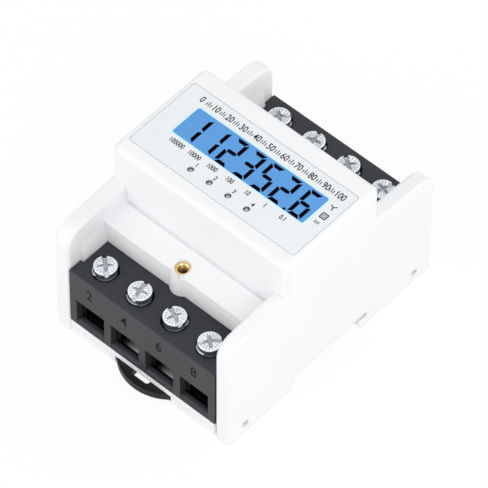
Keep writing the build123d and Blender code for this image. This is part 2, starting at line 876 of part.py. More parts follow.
# Sprung clip with its pull tab, window and wedge nose
with BuildPart() as clip:
    with BuildSketch(Plane.XY.offset(clip_bottom)):
        with BuildLine():
            Polyline(
                (-clip_half_width, clip_shoulder_y),
                (-clip_half_width, clip_root_y),
                (clip_half_width, clip_root_y),
                (clip_half_width, clip_shoulder_y),
            )
            ThreePointArc(
                (clip_half_width, clip_shoulder_y), (0, clip_tip_y), (-clip_half_width, clip_shoulder_y)
            )
        make_face()
        with Locations((0, clip_tip_y + clip_slot_from_tip + clip_slot_depth / 2)):
            RectangleRounded(clip_slot_width, clip_slot_depth, clip_slot_round, mode=Mode.SUBTRACT)
        with Locations((0, (clip_window_front + clip_window_rear) / 2)):
            Rectangle(clip_window_width, clip_window_depth, mode=Mode.SUBTRACT)
    extrude(amount=clip_thick)
    with BuildSketch(Plane.YZ):
        Polygon(
            (clip_root_y - clip_nose_root, clip_bottom),
            (clip_root_y - clip_nose_root, clip_top),
            (clip_root_y, clip_nose_top),
            (clip_nose_y, clip_nose_top),
            (clip_nose_y, clip_nose_top - clip_nose_blunt),
            (clip_nose_y - clip_nose_lead, clip_bottom),
            align=None,
        )
    extrude(amount=clip_nose_width / 2, both=True)
save(clip.part, "din_clip")

with BuildPart() as spring:
    with BuildSketch(Plane.XY.offset(clip_top - spring_height)):
        with BuildLine():
            ThreePointArc(
                (-spring_half, spring_rear_y),
                (0, spring_front_y),
                (spring_half, spring_rear_y),
            )
        trace(line_width=spring_sheet)
    extrude(amount=spring_height)
save(spring.part, "clip_spring")
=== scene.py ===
# %% [markdown]
# # An energy meter for a distribution board
#
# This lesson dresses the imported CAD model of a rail-mounted meter for a studio photograph. The
# CAD bodies are a fixed frame: they are never moved, and each new piece rides on one of them.
# Lengths are written in millimetres and become metres when a piece is finished.

# %% The frame
import math

import bmesh
import bpy
from mathutils import Matrix, Vector


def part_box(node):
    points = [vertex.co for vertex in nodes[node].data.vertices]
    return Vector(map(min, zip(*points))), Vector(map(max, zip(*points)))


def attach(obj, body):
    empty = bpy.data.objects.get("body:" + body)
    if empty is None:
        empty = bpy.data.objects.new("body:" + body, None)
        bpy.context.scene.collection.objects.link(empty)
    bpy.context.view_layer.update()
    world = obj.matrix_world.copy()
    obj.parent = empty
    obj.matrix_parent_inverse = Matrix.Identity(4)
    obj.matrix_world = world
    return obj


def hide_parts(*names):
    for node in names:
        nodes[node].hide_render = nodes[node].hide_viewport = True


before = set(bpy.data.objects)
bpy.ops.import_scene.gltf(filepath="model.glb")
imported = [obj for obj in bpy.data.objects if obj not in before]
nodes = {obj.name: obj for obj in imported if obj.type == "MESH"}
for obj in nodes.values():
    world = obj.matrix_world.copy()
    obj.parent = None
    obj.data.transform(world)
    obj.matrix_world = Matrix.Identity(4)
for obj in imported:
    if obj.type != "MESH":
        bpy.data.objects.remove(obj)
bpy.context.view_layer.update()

MM = 0.001

# %% [markdown]
# ## The camera
#
# The photograph was taken from above the front right corner with a long lens, so that parallel
# edges hardly converge. A camera could be placed by eye, but here its angles and distance were
# fitted to the edges of the casing. Its place, turn and lens are set here, and the picture's size
# comes from the renderer. The angles are in radians, and the distances in millimetres.

# %% Camera
image_side = 488
sensor_width = 36.0
azimuth = 0.72752
elevation = 0.90817
roll = 0.00774
distance = 1745.95
focal_pixels = 5269.3
aim_right = 0.1675
aim_up = -16.2307
foot_height = -6.0

backward = Vector(
    (
        math.sin(azimuth) * math.cos(elevation),
        -math.cos(azimuth) * math.cos(elevation),
        math.sin(elevation),
    )
)
level = Vector((math.cos(azimuth), math.sin(azimuth), 0.0))
steep = backward.cross(level)
rightward = math.cos(roll) * level + math.sin(roll) * steep
upward = math.cos(roll) * steep - math.sin(roll) * level
eye = distance * backward - aim_right * rightward - aim_up * upward + Vector((0, 0, foot_height))

lens_data = bpy.data.cameras.new("camera")
lens_data.sensor_width = sensor_width
lens_data.lens = focal_pixels / image_side * sensor_width
camera = bpy.data.objects.new("camera", lens_data)
turn = Matrix((rightward, upward, backward)).transposed().to_4x4()
camera.matrix_world = Matrix.Translation(eye * MM) @ turn
bpy.context.scene.collection.objects.link(camera)
bpy.context.scene.camera = camera
bpy.context.scene.view_settings.view_transform = "Standard"
print("a lens of", round(lens_data.lens), "mm, seen from", [round(v) for v in eye], "mm")

# %% [markdown]
# ## Finishes written as sums
#
# Every material is a network of nodes. Placing them by hand is slow to read in code, so one class
# wraps a socket and turns arithmetic into Math nodes, and one method adds any other node: its
# settings first, then the values or links of its sockets.


# %% A wrapped socket
class Field:
    """A number, colour or vector that changes over a surface."""

    def __init__(self, finish, socket):
        self.finish = finish
        self.socket = socket

    def maths(self, operation, *values):
        return self.finish.node("ShaderNodeMath", {"operation": operation}, dict(enumerate(values)))

    def __add__(self, other):
        return self.maths("ADD", self, other)

    def __radd__(self, other):
        return self.maths("ADD", other, self)

    def __sub__(self, other):
        return self.maths("SUBTRACT", self, other)

    def __rsub__(self, other):
        return self.maths("SUBTRACT", other, self)

    def __mul__(self, other):
        return self.maths("MULTIPLY", self, other)

    def __rmul__(self, other):
        return self.maths("MULTIPLY", other, self)

    def limited(self):
        """The same number, kept between 0 and 1."""
        return self.maths("MINIMUM", self.maths("MAXIMUM", self, 0.0), 1.0)

    def part(self, axis):
        """One coordinate of a vector."""
        return self.finish.node("ShaderNodeSeparateXYZ", {}, {0: self}, axis)


class Finish:
    """A material, its shader's constants and the place on the piece in millimetres."""

    def __init__(self, name, constants):
        self.material = bpy.data.materials.new(name)
        self.material.use_nodes = True
        self.tree = self.material.node_tree
        self.shader = self.tree.nodes["Principled BSDF"]
        for socket, value in constants.items():
            self.plug(self.shader.inputs[socket], value)
        place = self.node("ShaderNodeTexCoord", {}, {}, "Object")
        scale = {"operation": "SCALE"}
        self.place = self.node("ShaderNodeVectorMath", scale, {0: place, "Scale": 1.0 / MM})

    def plug(self, socket, value):
        """Link a field to a socket, or write a constant into it."""
        if isinstance(value, Field):
            self.tree.links.new(value.socket, socket)
        elif socket.type == "RGBA":
            socket.default_value = (*value, 1.0)
        else:
            socket.default_value = value

    def node(self, kind, settings, inputs, output=0):
        """Add a node: its settings first, then its sockets' values or links."""
        made = self.tree.nodes.new(kind)
        for key, value in settings.items():
            setattr(made, key, value)
        for key, value in inputs.items():
            self.plug(made.inputs[key], value)
        return Field(self, made.outputs[output])

    def feed(self, socket, value):
        self.plug(self.shader.inputs[socket], value)

    def noise(self, size, detail=2.0, stretch=None):
        """Smooth random numbers, with the size of their spots in millimetres."""
        place = self.place
        if stretch:
            multiply = {"operation": "MULTIPLY"}
            place = self.node("ShaderNodeVectorMath", multiply, {0: place, 1: stretch})
        inputs = {"Vector": place, "Scale": 1.0 / size, "Detail": detail}
        return self.node("ShaderNodeTexNoise", {}, inputs)

    def blend(self, mask, low, high):
        """A colour between two others."""
        inputs = {"Factor": mask, "A": low, "B": high}
        return self.node("ShaderNodeMix", {"data_type": "RGBA"}, inputs, "Result")

    def relief(self, height, strength, reach, softness=0.0):
        """Fine relief, with its reach in millimetres, on edges softened by a small radius."""
        inputs = {"Height": height, "Strength": strength, "Distance": reach * MM}
        if softness:
            radius = {"Radius": softness * MM}
            inputs["Normal"] = self.node("ShaderNodeBevel", {"samples": 4}, radius)
        self.feed("Normal", self.node("ShaderNodeBump", {}, inputs))


# %% [markdown]
# ## Moulded plastics
#
# The housing is a white plastic with a fine spark-eroded texture, and the terminal blocks and the
# clip are black. One flat colour would look like a drawing, so each plastic gets slow clouds in
# its colour and a fine grain in its gloss and relief, and the housing, the blocks and the clip get
# edges rounded a little as a mould leaves them.


# %% Plastics
cloud_size = 22.0
cloud_share = 0.7
gloss_change = 0.14
texture_strength = 0.2
texture_reach = 0.02


def plastic(name, colour, roughness, variation, grain, softness=0.0, specular=0.5):
    """A moulded plastic: variation is a share, and grain and softness are in millimetres."""
    finish = Finish(name, {"Specular IOR Level": specular})
    slow = finish.noise(cloud_size, 3.0)
    fine = finish.noise(grain, 4.0)
    mottle = slow * cloud_share + fine * (1.0 - cloud_share)
    darker = [c * (1.0 - variation) for c in colour]
    lighter = [min(1.0, c * (1.0 + variation)) for c in colour]
    finish.feed("Base Color", finish.blend(mottle, darker, lighter))
    finish.feed("Roughness", fine * gloss_change + (roughness - gloss_change / 2))
    finish.relief(fine, texture_strength, texture_reach, softness)
    return finish.material


white_plastic = plastic("white_plastic", (0.88, 0.883, 0.892), 0.45, 0.012, 0.5, 0.35, 0.4)
black_plastic = plastic("black_plastic", (0.042, 0.042, 0.048), 0.42, 0.10, 0.45, 0.3, 0.2)
clip_plastic = plastic("clip_plastic", (0.012, 0.012, 0.013), 0.45, 0.12, 0.5, 0.3, 0.2)
holder_plastic = plastic("holder_plastic", (0.84, 0.84, 0.83), 0.5, 0.02, 0.6)
component_plastic = plastic("component_plastic", (0.02, 0.02, 0.022), 0.55, 0.15, 0.3)
potted_case = plastic("potted_case", (0.03, 0.08, 0.26), 0.35, 0.06, 0.8)
dipped_case = plastic("dipped_case", (0.5, 0.07, 0.04), 0.25, 0.05, 0.8)
rubber = plastic("rubber", (0.05, 0.05, 0.05), 0.8, 0.2, 0.3)
print("8 plastics")

# %% [markdown]
# ## Metals
#
# The screws are zinc plated with a bluish tone, and shade is painted dark where a cut keeps the
# light out. The pieces made below carry a number of painted shade at each vertex, 0 on the lands
# and 1 down in a slot or thread, and the metal reads it as a colour change into dark. It also
# paints a dark reflection on the sides of the screw heads, a lighter glint on their lips and a
# dimming of the rear heads. On CAD nodes the attribute is missing, which reads as 0.


# %% Metals
tone_size = 1.4
tone_share = 0.6
streak_gloss = 0.2
cut_dulling = 0.6
cut_roughening = 0.35


def metal(name, tones, roughness, grain, stretch=None):
    """A metal from three tones, bright, dull and the painted shade in cuts, with streaks in its
    gloss.
    """
    bright, dull, painted_shade = tones
    finish = Finish(name, {})
    cloud = finish.noise(tone_size, 3.0)
    streak = finish.noise(grain, 3.0, stretch)
    mottle = cloud * tone_share + streak * (1.0 - tone_share)
    skin = finish.blend(mottle, bright, dull)
    # The attribute gives the share of painted shade: a dark colour, less metal and more rough.
    depth = finish.node("ShaderNodeAttribute", {"attribute_name": "painted_shade"}, {}, "Fac")
    finish.feed("Base Color", finish.blend(depth, skin, painted_shade))
    finish.feed("Metallic", 1.0 - depth * cut_dulling)
    rough = streak * streak_gloss + depth * cut_roughening
    finish.feed("Roughness", rough + (roughness - streak_gloss / 2))
    finish.relief(streak, 0.3, 0.02)
    return finish.material


black = (0.0, 0.0, 0.0)
# Each metal's third tone is the colour of painted shade.
zinc_tones = ((1.0, 1.0, 1.0), (0.84, 0.92, 0.96), (0.03, 0.055, 0.075))
brass_tones = ((0.95, 0.74, 0.38), (0.72, 0.48, 0.18), (0.20, 0.12, 0.03))
strip_tones = ((0.02, 0.02, 0.022), (0.01, 0.01, 0.011), black)
bar_tones = ((0.022, 0.022, 0.025), (0.012, 0.012, 0.013), black)
spring_tones = ((0.56, 0.57, 0.58), (0.44, 0.45, 0.47), black)
along_clamp = (0.15, 1.0, 1.0)
along_bar = (1.0, 0.15, 1.0)
zinc = metal("zinc", zinc_tones, 0.22, 0.2)
brass = metal("brass", brass_tones, 0.26, 0.2)
dark_strip = metal("dark_strip", strip_tones, 0.45, 0.25, along_clamp)
dark_bar = metal("dark_bar", bar_tones, 0.5, 0.3, along_bar)
spring_strip = metal("spring_strip", spring_tones, 0.3, 0.3)
print("5 metals")

# %% [markdown]
# ### Tinned bridges
#
# The two middle bridges show in the wire mouths as a grey that fades into black: a painted sheen
# on the tin at the right of their tips and painted shade at the left. A ramp along X in each bar's
# own place gives that.


# %% Tinned bridges
ramp_start = -2.45
ramp_width = 7.0
sheen_tin = (0.8, 0.82, 0.85)
shaded_tin = (0.02, 0.02, 0.022)
terminal_pitch = 15.25
terminal_xs = [(i - 1.5) * terminal_pitch for i in range(4)]


def tinned(name, middle_x):
    """Tin with painted shade at the left of a bar and a painted sheen at the right."""
    finish = Finish(name, {"Metallic": 0.4, "Roughness": 0.5, "Specular IOR Level": 0.3})
    offset = finish.place.part("X") - (middle_x + ramp_start)
    ramp = (offset * (1.0 / ramp_width)).limited()
    cloud = finish.noise(1.8, 3.0)
    # A painted sheen on the right of the tip fades into painted shade at the left.
    sheen_share = ramp * (0.8 + cloud * 0.4)
    finish.feed("Base Color", finish.blend(sheen_share, shaded_tin, sheen_tin))
    finish.relief(cloud, 0.2, 0.02)
    return finish.material


second_bar = tinned("second_bar_tin", terminal_xs[1])
third_bar = tinned("third_bar_tin", terminal_xs[2])
print("2 tinned bridges at", terminal_xs[1:3])

# %% [markdown]
# ## Films, glass and boards
#
# The label is a printed film, cooler and a little glossier than the housing. The display is a
# blue liquid-crystal cell, whose light leaks out as a pale rim at the edge of its window. The
# glass and the boards are inside the case, and get a finish too, because the part may be opened
# or cut for a view.


# %% Films and printing inks
def printed(name, low, high, size, roughness, specular):
    """A film or ink with fine mottling between two close colours."""
    finish = Finish(name, {"Roughness": roughness, "Specular IOR Level": specular})
    finish.feed("Base Color", finish.blend(finish.noise(size, 3.0), low, high))
    return finish


film = printed("film", (0.80, 0.815, 0.825), (0.85, 0.865, 0.875), 14.0, 0.36, 0.4)
film.relief(film.noise(0.25, 3.0), 0.1, 0.01)
display_blue = printed("display_blue", (0.106, 0.326, 0.70), (0.124, 0.354, 0.74), 26.0, 0.3, 0.1)
display_rim = printed("display_rim", (0.60, 0.86, 0.96), (0.70, 0.91, 0.98), 8.0, 0.35, 0.1)
window_pane = printed("window_pane", (0.10, 0.33, 0.72), (0.13, 0.37, 0.77), 26.0, 0.2, 0.3)
segment_ink = printed("segment_ink", (0.0005, 0.0005, 0.002), (0.002, 0.002, 0.005), 0.6, 0.5, 0.0)
label_ink = printed("label_ink", (0.010, 0.010, 0.011), (0.03, 0.03, 0.033), 0.2, 0.45, 0.15)
block_ink = printed("block_ink", (0.007, 0.007, 0.008), (0.013, 0.013, 0.014), 0.5, 0.7, 0.1)
cell_glass = printed("cell_glass", (0.36, 0.55, 0.82), (0.46, 0.65, 0.88), 12.0, 0.1, 0.5)
cell_glass.relief(cell_glass.noise(3.0), 0.05, 0.01)
print("8 films and inks")

# %% Circuit boards
waves_x = 4.2
waves_y = 3.4
track_level = 0.9
track_contrast = 6.0
board_green = (0.015, 0.12, 0.04)
track_green = (0.05, 0.24, 0.09)
board = Finish("board", {"Roughness": 0.35, "Coat Weight": 0.3})
lanes = board.place.part("X") * waves_x
streets = board.place.part("Y") * waves_y
crossings = lanes.maths("SINE", lanes) * streets.maths("SINE", streets)
tracks = ((crossings + board.noise(5.0) - track_level) * track_contrast).limited()
board.feed("Base Color", board.blend(tracks, board_green, track_green))
print("a board with tracks")

# %% [markdown]
# ## Materials on the CAD nodes
#
# Every node that stays as it is gets a finish by the start of its name. Assigning to the material
# slots of a CAD object is allowed, while its mesh and its place are left alone.

# %% Dressing
dress = {
    "cover": white_plastic,
    "base": white_plastic,
    "front_terminal_block": black_plastic,
    "rear_terminal_block": black_plastic,
    "din_clip": clip_plastic,
    "clip_spring": spring_strip,
    "front_label": film.material,
    "display_window": window_pane.material,
    "lcd_panel": cell_glass.material,
    "lcd_holder": holder_plastic,
    "backlight": cell_glass.material,
    "main_board": board.material,
    "display_board": board.material,
    "board_link": component_plastic,
    "storage_capacitor": component_plastic,
    "metering_chip": component_plastic,
    "terminal_clamp_": dark_strip,
    "terminal_screw_": zinc,
    "standoff_": brass,
    "board_screw_": zinc,
    "current_transformer_": potted_case,
    "dropper_capacitor_": dipped_case,
    "contact_strip_": rubber,
    "indicator_led_": component_plastic,
    "phase_bar_1": dark_bar,
    "phase_bar_2": second_bar,
    "phase_bar_3": third_bar,
    "neutral_bar": dark_bar,
    "front_insert": brass,
    "rear_insert": brass,
}
for name, node in nodes.items():
    node.data.materials.clear()
    node.data.materials.append(next(dress[start] for start in dress if name.startswith(start)))
print(len(nodes), "nodes dressed with", len(bpy.data.materials), "materials")

# %% [markdown]
# ## From a bmesh to a piece
#
# A bmesh is a mesh that operators can work on. Round pieces start from a profile of a few
# vertices, which is spun about Z, and are then shaped by moving vertices. The last step is the
# same for all: the normals are turned outwards, millimetres become metres, and the piece rides on
# its body.


# %% Helpers for new pieces
merge_distance = 1e-5


def turned(profile, steps):
    """A round shape from points of radius and height: a line from axis to axis, or a ring."""
    shape = bmesh.new()
    points = [shape.verts.new((radius, 0.0, height)) for radius, height in profile]
    lines = [shape.edges.new(pair) for pair in zip(points, points[1:])]
    bmesh.ops.spin(
        shape,
        geom=points + lines,
        axis=(0, 0, 1),
        angle=math.tau,
        steps=steps,
        use_merge=True,
    )
    bmesh.ops.remove_doubles(shape, verts=shape.verts, dist=merge_distance)
    return shape


def extrude(shape, faces, height):
    """Extrude faces along Z."""
    raised = bmesh.ops.extrude_face_region(shape, geom=faces)["geom"]
    moved = [item for item in raised if isinstance(item, bmesh.types.BMVert)]
    bmesh.ops.translate(shape, verts=moved, vec=(0.0, 0.0, height))


def finished(name, shape, material, body="housing", smooth=False):
    """Turn a bmesh in millimetres into an object that rides on a body."""
    bmesh.ops.recalc_face_normals(shape, faces=shape.faces)
    bmesh.ops.scale(shape, vec=(MM, MM, MM), verts=shape.verts)
    mesh = bpy.data.meshes.new(name)
    shape.to_mesh(mesh)
    shape.free()
    mesh.materials.append(material)
    if smooth:
        mesh.shade_smooth()
    piece = bpy.data.objects.new(name, mesh)
    bpy.context.scene.collection.objects.link(piece)
    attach(piece, body)
    return piece


def step(low, high, value):
    """0 at low, 1 at high, and a soft change between them."""
    share = min(1.0, max(0.0, (value - low) / (high - low)))
    return share * share * (3.0 - 2.0 * share)


def ladder(start, end, count):
    """Evenly spaced numbers, both ends included."""
    return [start + (end - start) * i / (count - 1) for i in range(count)]


# %% [markdown]
# ## Terminal screws
#
# The head of a terminal screw is a combination drive: a cross recess, a slot that notches the
# rim, and short radial marks. It could be cut with booleans, but eighteen fine marks and a thread
# make those slow and fragile. A dense round shape whose vertices sink by a height rule gives
# clean cuts instead.

# %% The screw's sizes and its head
low, high = (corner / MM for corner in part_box("terminal_screw_2"))
head_radius = 4.05
head_top = high.z
head_floor = head_top - 2.3
tip_height = low.z
crest_radius = 3.93
core_radius = 3.45
thread_pitch = 1.5
dome_drop = 0.38
rim_round = 0.2

slot_edge = (0.82, 0.60)
slot_ends = (1.6, 3.7)
slot_depth = 0.35
slot_fall = 0.75
slot_shade = 0.36

cross_half = 0.72
cross_taper = 0.14
cross_wall = (0.16, -0.14)
cross_end = (2.9, 2.3)
cross_depth = 1.3
cross_rise = 0.22
cross_shade = 0.54

ray_count = 18
ray_edge = (-0.25, 0.55)
ray_start = (1.2, 1.9)
ray_end = (3.7, 3.3)
ray_depth = 0.2
ray_shade = 0.40


def head_cuts(x, y):
    """How deep the head is cut at a place and how much shade is painted there, with the slot along
    x.
    """
    radius = math.hypot(x, y)
    slot = step(*slot_edge, abs(y))
    depth = slot * (slot_depth + slot_fall * step(*slot_ends, abs(x)))
    shade = slot * slot_shade
    for along, across in ((abs(x), abs(y)), (abs(y), abs(x))):
        half = cross_half - cross_taper * along
        arm = step(*cross_wall, across - half) * step(*cross_end, along)
        depth = max(depth, arm * (cross_depth - cross_rise * along))
        shade = max(shade, arm * cross_shade)
    ray = step(*ray_edge, math.cos(ray_count * math.atan2(y, x)))
    groove = ray * step(*ray_start, radius) * step(*ray_end, radius)
    return max(depth, groove * ray_depth), max(shade, groove * ray_shade)


print("head from", round(head_floor, 2), "to", round(head_top, 2), "mm")


# %% [markdown]
# ### The whole screw
#
# The profile runs over the head, down its side, in to the thread, down to the tip and back to the
# axis. Below the head the first turn of the thread stands out as a lip over part of the way
# round.


# %% Making a screw
screw_steps = 144
neck_radius = 3.6
neck_levels = (0.02, 0.10, 0.42, 0.5)
tip_radius = 3.2
head_rings = ladder(0.0, 3.5, 38) + ladder(3.56, head_radius, 12)
side_levels = ladder(head_top - 0.4, head_floor, 4)
thread_levels = ladder(head_floor - 0.55, tip_height + 0.5, 84)
lip_reach = 0.9
lip_fade = (10.0, -8.0)
# Painted shade and a painted dark reflection of the black block, on the head's side and under it.
hidden_shade = 0.96
close = 0.001


def screw_profile():
    """Points of radius and height, from the middle of the head to the middle of the tip."""
    profile = [(radius, head_top) for radius in head_rings]
    profile += [(head_radius, level) for level in side_levels]
    profile += [(neck_radius, head_floor - below) for below in neck_levels]
    profile += [(crest_radius, level) for level in thread_levels]
    return profile + [(tip_radius, tip_height), (0.0, tip_height)]


def shape_screw(shape, turn, lip_middle, lip_half, lip_shade, land_shade):
    """Sink the head's cuts, raise the lip and wind the thread, with angles in degrees."""
    painted_shade = shape.verts.layers.float.new("painted_shade")
    cosine, sine = math.cos(math.radians(turn)), math.sin(math.radians(turn))
    for vertex in shape.verts:
        x, y, z = vertex.co
        radius, angle = math.hypot(x, y), math.atan2(y, x)
        u, v = cosine * x + sine * y, cosine * y - sine * x
        below = head_floor - z
        if below <= close:
            depth, shade = head_cuts(u, v)
            edge = max(0.0, radius - head_radius + rim_round)
            fall = rim_round - math.sqrt(max(0.0, rim_round**2 - edge**2))
            surface = head_top - dome_drop * (radius / head_radius) ** 2 - fall - depth
            share = (head_top - z) / (head_top - head_floor)
            vertex.co.z = surface + share * (head_floor - surface)
            # Painted shade in the head's cuts and on the rear heads' lands, and a painted dark
            # reflection on its side.
            vertex[painted_shade] = hidden_shade if share > 0.0 else shade + land_shade * (1.0 - shade)
        elif below <= neck_levels[-1] + close:
            lag = abs((math.degrees(angle) - lip_middle + 180.0) % 360.0 - 180.0)
            proud = lip_reach * step(*lip_fade, lag - lip_half)
            if neck_levels[1] - close < below < neck_levels[2] + close:
                vertex.co.x *= (radius + proud) / radius
                vertex.co.y *= (radius + proud) / radius
            # Painted shade under the head, and the lip lighter as a painted glint.
            vertex[painted_shade] = hidden_shade + (lip_shade - hidden_shade) * proud
        elif radius > tip_radius + close:
            phase = (z / thread_pitch - angle / math.tau) % 1.0
            ridge = step(0.15, 0.85, 1.0 - abs(2.0 * phase - 1.0))
            scale = (core_radius + (crest_radius - core_radius) * ridge) / radius
            vertex.co.x *= scale
            vertex.co.y *= scale
            # Painted shade down in the thread, a little lighter on its ridges.
            vertex[painted_shade] = 1.0 - 0.15 * ridge


def make_screw(number, x, y, *setting):
    """One screw: its slot's turn, its lip's middle, half length and shade, and painted shade on its
    lands.
    """
    shape = turned(screw_profile(), screw_steps)
    shape_screw(shape, *setting)
    bmesh.ops.translate(shape, verts=shape.verts, vec=(x, y, 0.0))
    node = f"terminal_screw_{number}"
    piece = finished(f"screw_{number}", shape, zinc, body=node, smooth=True)
    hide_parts(node)
    return piece


# %% Eight screws
# Each row has the slot's turn, the lip's middle, half length and shade, and painted shade on the
# head.
screw_y = 42.2
front_set = (
    (-42.0, -126.0, 26.0, 0.1, 0.0),
    (-78.0, -100.0, 42.0, 0.6, 0.0),
    (-24.0, 25.0, 18.0, 0.2, 0.0),
    (50.0, -108.0, 34.0, 0.25, 0.0),
)
rear_set = (
    (49.0, 19.0, 16.0, 0.5, 0.16),
    (-76.0, 18.0, 16.0, 0.3, 0.16),
    (-37.0, 6.0, 16.0, 0.3, 0.16),
    (75.0, 10.0, 16.0, 0.5, 0.16),
)
for i, x in enumerate(terminal_xs):
    last = make_screw(2 + 2 * i, x, -screw_y, *front_set[i])
    last = make_screw(1 + 2 * i, x, screw_y, *rear_set[i])
print("8 screws of", len(last.data.polygons), "faces each")

# %% [markdown]
# ## Threaded inserts
#
# The screw of each terminal cover goes into a turned brass insert with a chamfered bore and a
# knurled outside. It is a ring, so its profile closes on itself instead of ending on the axis.


# %% Making an insert
insert_y = 30.0
insert_length = 6.0
insert_radius = 2.66
bore_radius = 1.85
bore_pitch = 0.7
bore_thread = 0.11
knurl_count = 32
knurl_height = 0.012
wall_play = 0.02
rim_points = ((2.62, 0.05), (2.5, 0.0), (2.12, 0.0), (1.9, 0.22))


def make_insert(name, y, top):
    """A turned insert with a flat rim, a chamfer, a threaded bore and a knurled outside."""
    foot = top - insert_length
    profile = [(insert_radius, level) for level in ladder(foot, top - 0.25, 8)]
    profile += [(radius, top - below) for radius, below in rim_points]
    profile += [(bore_radius, level) for level in ladder(top - 0.35, foot + 0.1, 64)]
    profile += [(bore_radius, foot), (insert_radius, foot)]
    shape = turned(profile, 96)
    painted_shade = shape.verts.layers.float.new("painted_shade")
    for vertex in shape.verts:
        x, z = vertex.co.x, vertex.co.z
        radius, angle = math.hypot(x, vertex.co.y), math.atan2(vertex.co.y, x)
        scale = 1.0
        if radius > insert_radius - wall_play:
            scale = 1.0 + knurl_height * math.cos(knurl_count * angle)
        elif radius < bore_radius + wall_play:
            phase = (z / bore_pitch - angle / math.tau) % 1.0
            ridge = step(0.2, 0.9, 1.0 - abs(2.0 * phase - 1.0))
            scale = 1.0 - bore_thread * ridge
            # Painted shade, deeper down the bore and lighter on the thread's ridges.
            vertex[painted_shade] = min(1.0, 0.05 + 0.24 * (top - z) - 0.3 * ridge)
        vertex.co.x *= scale
        vertex.co.y *= scale
    bmesh.ops.translate(shape, verts=shape.verts, vec=(0.0, y, 0.0))
    piece = finished(name + "_turned", shape, brass, smooth=True)
    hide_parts(name)


for name, y in (("front_insert", -insert_y), ("rear_insert", insert_y)):
    make_insert(name, y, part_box(name)[1].z / MM)
print("2 inserts")

# %% [markdown]
# ## Indicator lamps
#
# Four small lamps look out through holes in the label. Each is a moulded body with a flange, a
# collar and a shallow clear dome. They are not lit, so the dome shows grey in a ring of painted
# shade, the shade of the hole, which also darkens the collar and the body. A spun profile makes
# the body, and two extruded legs reach the board.

# %% The lens finish
lens = Finish("lens", {"Coat Weight": 0.4, "Specular IOR Level": 0.4})
lens_shade = lens.node("ShaderNodeAttribute", {"attribute_name": "painted_shade"}, {}, "Fac")
lens_cloud = lens.noise(0.7, 2.0)
lens_skin = lens.blend(lens_cloud, (0.34, 0.35, 0.35), (0.54, 0.55, 0.55))
# Painted shade darkens the lamp round its dome and below it.
lens.feed("Base Color", lens.blend(lens_shade, lens_skin, (0.008, 0.008, 0.009)))
lens.feed("Roughness", lens_cloud * 0.1 + 0.18)
print("lens finish")


# %% Four lamps
lamp_height = 5.2
flange_radius = 1.8
flange_height = 1.0
lamp_radius = 1.45
dome_radius = 1.1
dome_height = 0.6
collar_top = 0.75
collar_points = ((1.38, -0.02), (1.12, 0.0))
leg_radius = 0.34
leg_offset = 1.0
leg_gap = 0.001


def make_lamp(number):
    """A lamp with a domed lens, a collar, a flange and two legs, painted dark around the dome as
    shade.
    """
    node = f"indicator_led_{number}"
    low, high = (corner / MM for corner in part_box(node))
    middle = (low + high) / 2
    body_floor = high.z - lamp_height
    flange_top = body_floor + flange_height
    dome_floor = high.z - dome_height
    profile = [(0.0, body_floor), (flange_radius, body_floor)]
    profile += [(flange_radius, flange_top), (lamp_radius, flange_top)]
    profile += [(lamp_radius, high.z - collar_top)]
    profile += [(radius, dome_floor + rise) for radius, rise in collar_points]
    for t in ladder(0.0, math.pi / 2, 9):
        profile.append((dome_radius * math.cos(t), dome_floor + dome_height * math.sin(t)))
    shape = turned(profile, 48)
    painted_shade = shape.verts.layers.float.new("painted_shade")
    for vertex in shape.verts:
        radius = math.hypot(vertex.co.x, vertex.co.y)
        # Painted shade of the hole: the dome's edge and all below it.
        vertex[painted_shade] = step(0.72, 1.0, radius) if vertex.co.z > dome_floor - 0.01 else 1.0
    square_on = Matrix.Rotation(math.pi / 4, 3, "Z")
    square = {"cap_ends": True, "radius": leg_radius, "segments": 4}
    leg_top = body_floor - leg_gap
    for x in (-leg_offset, leg_offset):
        leg = bmesh.ops.create_circle(shape, **square)["verts"]
        bmesh.ops.rotate(shape, verts=leg, cent=(0, 0, 0), matrix=square_on)
        bmesh.ops.translate(shape, verts=leg, vec=(x, 0.0, leg_top))
        extrude(shape, list(leg[0].link_faces), low.z - leg_top)
    bmesh.ops.translate(shape, verts=shape.verts, vec=(middle.x, middle.y, 0.0))
    piece = finished(f"lamp_{number}", shape, lens.material, smooth=True)
    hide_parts(node)
    return middle.x


lamp_xs = [make_lamp(number) for number in (1, 2, 3, 4)]
print("4 lamps at", [round(x, 2) for x in lamp_xs])

# %% [markdown]
# ## Flat work on three sheets
#
# Prints are thin plates that lie on a face. A sheet is the turn and place of such a face: its
# first axis runs to the right as one reads, its second up the print, and its third out of the
# face.

# %% Sheets and strokes
label_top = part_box("front_label")[1].z / MM
block_face = -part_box("front_terminal_block")[0].y / MM
print_lift = 0.03


def sheet(first, second, origin):
    """The matrix of a face from its two reading directions and one place on it."""
    first, second = Vector(first), Vector(second)
    turn = Matrix((first, second, first.cross(second))).transposed().to_4x4()
    return Matrix.Translation(origin) @ turn


label_sheet = sheet((1, 0, 0), (0, 1, 0), (0, 0, label_top))
front_sheet = sheet((1, 0, 0), (0, 0, 1), (0, -block_face, 0))
rear_sheet = sheet((-1, 0, 0), (0, 0, 1), (0, block_face, 0))


def plate(length, width, thick, corner=0.0, segments=1):
    """A flat plate about the origin, with its corners cut or, with more segments, rounded."""
    shape = bmesh.new()
    bmesh.ops.create_grid(shape, x_segments=1, y_segments=1, size=0.5)
    bmesh.ops.scale(shape, vec=(length, width, 1.0), verts=shape.verts)
    if corner:
        bmesh.ops.bevel(
            shape,
            geom=shape.verts[:],
            offset=corner,
            segments=segments,
            profile=0.5,
            affect="VERTICES",
            material=-1,
        )
    extrude(shape, shape.faces[:], thick)
    return shape


